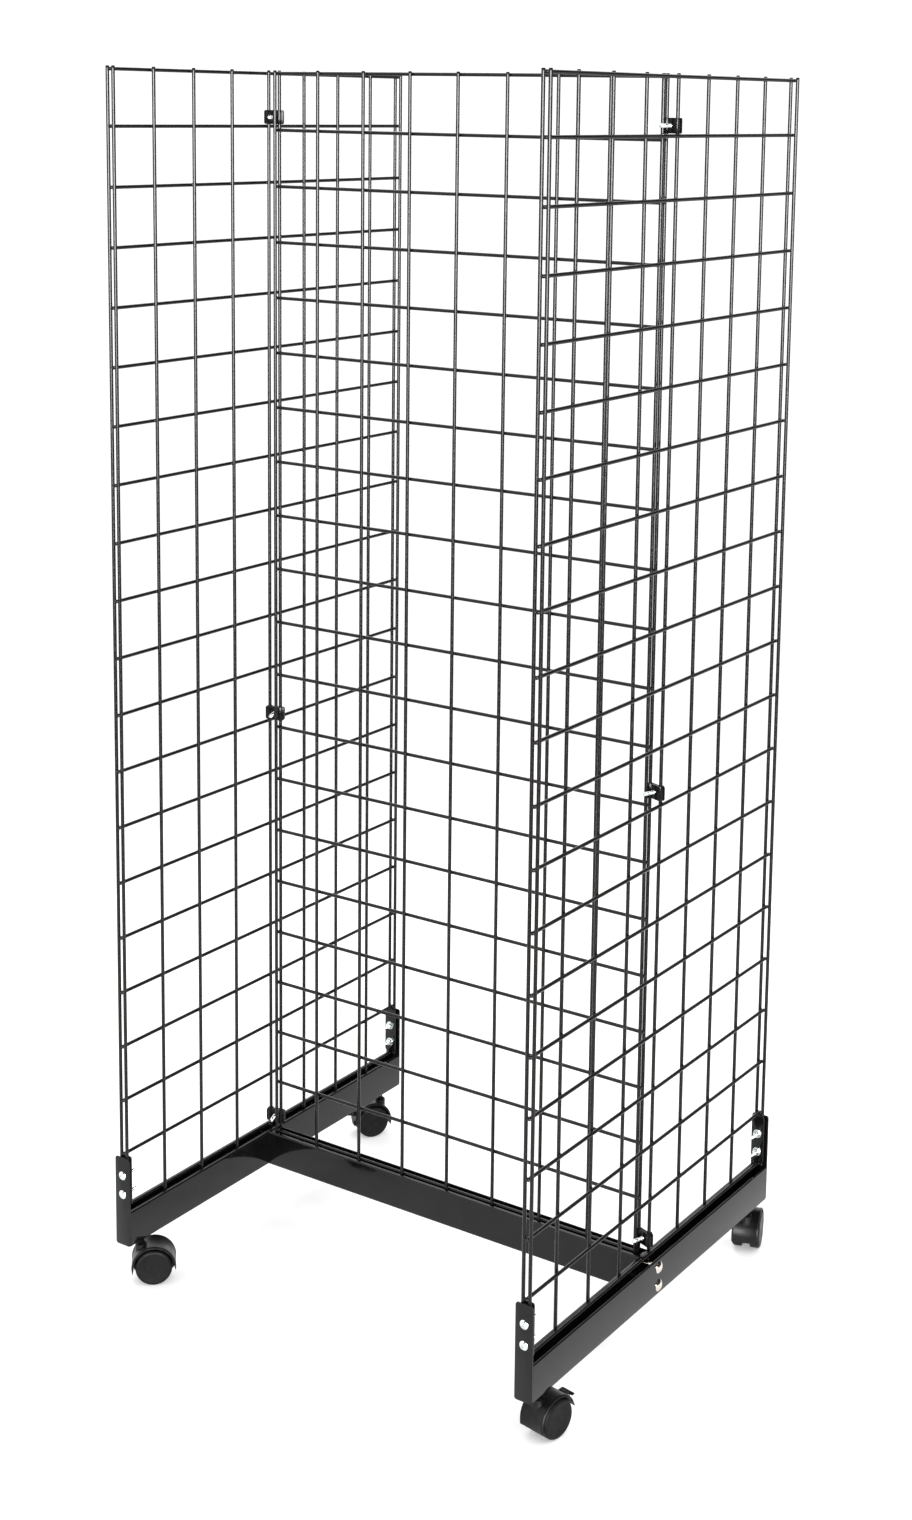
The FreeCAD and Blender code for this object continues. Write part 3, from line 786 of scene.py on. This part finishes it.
def boss():
    """The socket that turns on the stem."""
    top = BOSS_TOP - WHEEL_R
    return lathe([(BOSS_R, 6 * MM), (BOSS_R, top - 0.8 * MM), (BOSS_R - 0.8 * MM, top)], 48,
                 Matrix.Translation((-TRAIL, 0, 0)))


def ear(way):
    """One of the two ears that hold the brake pedal's pin."""
    px, pz = PEDAL_PIVOT
    points = rounded([(px - 10 * MM, pz - EAR_R, 0), (px + EAR_R, pz - EAR_R, 3.2 * MM),
                      (px + EAR_R, pz + EAR_R, 3.2 * MM), (px - 9 * MM, pz + EAR_R, 0)], 6)
    rings = [[Vector((p.x, y * way, p.y)) for p in points] for y in (EAR_IN, EAR_OUT)]
    return Solid().rings(rings)


def hood(brake):
    """Cover, boss, web and ears as one moulding, hollow where the wheels run."""
    far = 2 * HOOD_R1
    room = turned_y([(HOOD_R0, -far), (HOOD_R0, far)], 112)
    outside = [boss()] + ([ear(-1), ear(1)] if brake else [])
    cover = fender(HOOD_BRAKE_END if brake else HOOD_BACK_END)
    shell = carve(cover, [carve(part, [room], "DIFFERENCE") for part in outside], "UNION")
    return carve(shell, [web()], "UNION")


def wheel(way):
    """Wheel with a plain, barely dished face that rounds over to the tread."""
    profile = [
        (0.0, WHEEL_OUT - 0.35 * MM), (10.0 * MM, WHEEL_OUT - 0.3 * MM), (18.6 * MM, WHEEL_OUT - 0.1 * MM),
        (19.4 * MM, WHEEL_OUT), (21.4 * MM, WHEEL_OUT), (22.4 * MM, WHEEL_OUT - 0.2 * MM),
        (23.4 * MM, WHEEL_OUT - 0.7 * MM), (24.3 * MM, WHEEL_OUT - 1.5 * MM),
        (24.8 * MM, WHEEL_OUT - 2.4 * MM),
        (WHEEL_R, WHEEL_OUT - 3.3 * MM), (WHEEL_R, WHEEL_IN + 1.4 * MM), (24.7 * MM, WHEEL_IN + 0.5 * MM),
        (24.0 * MM, WHEEL_IN), (6.0 * MM, WHEEL_IN), (0.0, WHEEL_IN)]
    return lathe(profile, 96, frame_at((0, 0, 0), Y * way, X))


def collar(low, high, place):
    return lathe([(COLLAR_R - 0.4 * MM, low), (COLLAR_R, low + 0.4 * MM), (COLLAR_R, high - 0.4 * MM),
                  (COLLAR_R - 0.4 * MM, high)], 40, place)


def stem():
    """Swivel stem: post, its two collars, and its nut in the channel."""
    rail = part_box("rail_left")[0].z - WHEEL_R
    boss_top = BOSS_TOP - WHEEL_R
    place = Matrix.Translation((-TRAIL, 0, 0))
    solid = lathe([(STEM_R, boss_top - 8 * MM), (STEM_R, rail + 9 * MM)], 32, place)
    solid.join(collar(rail - 2.5 * MM, rail - 0.05 * MM, place))
    solid.join(collar(boss_top + 0.05 * MM, boss_top + 1.5 * MM, place))
    nut = frame_at((-TRAIL, 0, rail + SHEET + 0.05 * MM), Z, X)
    solid.join(hex_body(12 * MM, 5 * MM), nut)
    return solid


def pedal():
    """Brake pedal: a barrel on the pin and a tapered, ribbed tread plate."""
    px, pz = PEDAL_PIVOT
    neck = EAR_IN - 0.3 * MM
    solid = lathe([(PEDAL_BARREL_R, -neck), (PEDAL_BARREL_R, neck)], 32, frame_at((px, 0, pz), Y, X))
    tread = [(px + 1.0 * MM, pz + 1.5 * MM), (px + 5.0 * MM, pz + 1.3 * MM), (px + PEDAL_LEN, pz + 0.5 * MM),
             (px + PEDAL_LEN, pz - 0.6 * MM), (px + 5.0 * MM, pz - 1.3 * MM), (px + 1.0 * MM, pz - 1.4 * MM)]
    inner = px + EAR_R + 0.8 * MM
    solid.rings([[Vector((max(x, inner), y, z)) for x, z in tread] for y in (-PEDAL_HALF, PEDAL_HALF)])
    solid.rings([[Vector((min(x, inner + MM), y, z)) for x, z in tread] for y in (-neck, neck)])
    for k in range(2):
        x = px + (5.4 + 1.6 * k) * MM
        ridge = [(x - 0.4 * MM, pz + 0.4 * MM), (x + 0.4 * MM, pz + 0.4 * MM),
                 (x + 0.2 * MM, pz + 1.5 * MM), (x - 0.2 * MM, pz + 1.5 * MM)]
        solid.rings([[Vector((a, y, b)) for a, b in ridge] for y in (-PEDAL_HALF + MM, PEDAL_HALF - MM)])
    return solid


def placed(solid, place):
    return Solid().join(solid, place)


def casters():
    joints = {joint["name"]: joint for joint in frame["joints"]}
    plain, braked, stem_solid, pedal_solid = hood(False), hood(True), stem(), pedal()
    wheels = {"a": wheel(-1), "b": wheel(1)}
    for corner in ("fl", "fr", "bl", "br"):
        roll = joints["roll_%s_a" % corner]
        axle = Vector(roll["axis"])
        place = frame_at(roll["pos_m"], Z, axle.cross(Z))
        body, name = "caster_%s" % corner, "caster_%s_" % corner
        brake = "brake_%s" % corner in joints
        placed(braked if brake else plain, place).piece(
            body + "_cover", "hood_plastic", body, [name + "hood"], bevel=0.5 * MM, segments=3)
        placed(stem_solid, place).piece(
            body + "_swivel_stem", "clip_steel", "frame", [name + "stem"], sharp=30)
        axle_pin = turned_y([(AXLE_R - 0.4 * MM, -AXLE_HALF), (AXLE_R, -AXLE_HALF + 0.4 * MM),
                             (AXLE_R, AXLE_HALF - 0.4 * MM), (AXLE_R - 0.4 * MM, AXLE_HALF)], 32)
        placed(axle_pin, place).piece(body + "_axle_pin", "zinc", body, [name + "axle"])
        for which, solid in wheels.items():
            placed(solid, place).piece("wheel_%s_%s_disc" % (corner, which), "wheel_plastic",
                                       "wheel_%s_%s" % (corner, which), [name + "wheel_" + which])
        if brake:
            placed(pedal_solid, place).piece("brake_pedal_%s" % corner, "hood_plastic", "pedal_%s" % corner,
                                             [name + "pedal"], bevel=0.35 * MM, segments=2)
            px, pz = PEDAL_PIVOT
            pin = lathe([(1.2 * MM, -EAR_OUT), (1.5 * MM, -EAR_OUT + 0.3 * MM),
                         (1.5 * MM, EAR_OUT - 0.3 * MM), (1.2 * MM, EAR_OUT)],
                        24, place @ frame_at((px, 0, pz), Y, X))
            pin.piece("brake_pin_%s" % corner, "zinc", body, [name + "pedal_pin"])


# ---- studio ----------------------------------------------------------------------------
def camera():
    """Stands to the right of the front, level with the stand's top, and looks a little down."""
    data = bpy.data.cameras.new("camera")
    data.sensor_fit = "VERTICAL"
    data.sensor_height = 36
    data.lens = 52.459
    data.shift_x = -0.0451
    data.shift_y = -0.2049
    data.clip_end = 50
    turn, tilt, roll = math.radians(33.029), math.radians(8.873), math.radians(0.897)
    back = Vector((math.sin(turn) * math.cos(tilt), -math.cos(turn) * math.cos(tilt), math.sin(tilt)))
    right = Vector((math.cos(turn), math.sin(turn), 0))
    up = back.cross(right)
    right, up = (right * math.cos(roll) + up * math.sin(roll), up * math.cos(roll) - right * math.sin(roll))
    obj = bpy.data.objects.new("camera", data)
    place = Matrix.Translation((1.6445, -2.3672, 1.6048))
    obj.matrix_world = place @ Matrix((right, up, back)).transposed().to_4x4()
    bpy.context.scene.collection.objects.link(obj)
    bpy.context.scene.camera = obj


def floor():
    """A pale matte floor round the stand that fades into the white of the studio."""
    half, solid_to, gone_by = 3.0, 1.5, 2.8
    obj = Solid().add([(-half, -half, 0), (half, -half, 0), (half, half, 0), (-half, half, 0)],
                      [[0, 1, 2, 3]]).mesh("floor")
    obj = bpy.data.objects.new("floor", obj)
    bpy.context.scene.collection.objects.link(obj)
    p = Paint("floor_pale")
    colour = p.colours(p.noise(3, 3), (0.88, 0.88, 0.88), (0.9, 0.9, 0.9))
    rough = p.spread(p.noise(8, 2), 0.85, 0.95)
    relief = p.bump(p.noise(60, 2), 0.00005)
    p.finish(colour, rough, relief, specular=0.1)
    p.shader.inputs["Emission Color"].default_value = (1, 1, 1, 1)
    p.shader.inputs["Emission Strength"].default_value = 0.3
    distance = p.tree.nodes.new("ShaderNodeVectorMath")
    distance.operation = "LENGTH"
    p.link(p.coords, distance.inputs[0])
    p.link(p.spread(distance.outputs["Value"], 1.0, 0.0, solid_to, gone_by), p.shader.inputs["Alpha"])
    obj.data.materials.append(p.material)


def softbox(name, place, target, size, power):
    data = bpy.data.lights.new(name, "AREA")
    data.shape = "RECTANGLE"
    data.size, data.size_y = size
    data.energy = power
    obj = bpy.data.objects.new(name, data)
    way = Vector(place) - Vector(target)
    obj.matrix_world = Matrix.Translation(place) @ way.to_track_quat("Z", "Y").to_matrix().to_4x4()
    bpy.context.scene.collection.objects.link(obj)


def lights():
    """White all round for the eye; gloss sees the white floor, a bright left, a dark right and a
    bright lamp wall in front, from a little below the horizon to about 15 degrees above it."""
    upwards, rightwards, lamp_way = (0.0, 0.0, 1.0), (0.98, -0.2, 0.0), (0.58, -0.815, 0.0)
    lamp_strength = 48.0
    world = bpy.data.worlds.new("studio")
    world.use_nodes = True
    tree = world.node_tree
    seen = tree.nodes["Background"]
    seen.inputs["Color"].default_value = (1, 1, 1, 1)
    seen.inputs["Strength"].default_value = 1.12
    coords = tree.nodes.new("ShaderNodeTexCoord").outputs["Generated"]

    def towards(direction, start, end, low, high):
        """Low where a ray's share along direction is at start, high where it is at end."""
        dot = tree.nodes.new("ShaderNodeVectorMath")
        dot.operation = "DOT_PRODUCT"
        dot.inputs[1].default_value = direction
        tree.links.new(coords, dot.inputs[0])
        ramp = tree.nodes.new("ShaderNodeMapRange")
        ramp.inputs["From Min"].default_value = start
        ramp.inputs["From Max"].default_value = end
        ramp.inputs["To Min"].default_value = low
        ramp.inputs["To Max"].default_value = high
        tree.links.new(dot.outputs["Value"], ramp.inputs["Value"])
        return ramp.outputs["Result"]

    sky = towards(rightwards, -0.22, 0.02, 2.1, 0.04)
    above = towards(upwards, -0.02, 0.03, 0.0, 1.0)
    blend = tree.nodes.new("ShaderNodeMix")
    blend.inputs["A"].default_value = 1.0
    tree.links.new(above, blend.inputs["Factor"])
    tree.links.new(sky, blend.inputs["B"])

    def product(first, second, plus=None):
        """First times second, with plus added where it is given."""
        node = tree.nodes.new("ShaderNodeMath")
        node.operation = "MULTIPLY" if plus is None else "MULTIPLY_ADD"
        tree.links.new(first, node.inputs[0])
        tree.links.new(second, node.inputs[1])
        if plus is not None:
            tree.links.new(plus, node.inputs[2])
        return node.outputs["Value"]

    wall = product(towards(lamp_way, 0.86, 0.91, 0.0, 1.0), towards(upwards, -0.155, -0.065, 0.0, 1.0))
    strength = product(wall, towards(upwards, 0.20, 0.30, lamp_strength, 0.0), blend.outputs["Result"])
    gloss = tree.nodes.new("ShaderNodeBackground")
    tree.links.new(strength, gloss.inputs["Strength"])
    path = tree.nodes.new("ShaderNodeLightPath")
    mix = tree.nodes.new("ShaderNodeMixShader")
    tree.links.new(path.outputs["Is Glossy Ray"], mix.inputs["Fac"])
    tree.links.new(seen.outputs["Background"], mix.inputs[1])
    tree.links.new(gloss.outputs["Background"], mix.inputs[2])
    tree.links.new(mix.outputs["Shader"], tree.nodes["World Output"].inputs["Surface"])
    bpy.context.scene.world = world
    softbox("key", (-2.0, 1.6, 3.4), (0, 0, 0.8), (1.8, 1.8), 30)
    softbox("fill", (2.4, -0.6, 3.0), (0, 0, 0.4), (2.2, 2.2), 25)
    bpy.context.scene.view_settings.view_transform = "Standard"
    bpy.context.scene.view_settings.look = "None"


for panel_name in ("left", "right", "centre"):
    panel(panel_name)
rails()
for side_name, side_sign in (("left", -1), ("right", 1)):
    end_hardware(side_name, side_sign)
    rail_hardware(side_name, side_sign)
    clips(side_name, side_sign)
casters()
floor()
camera()
lights()
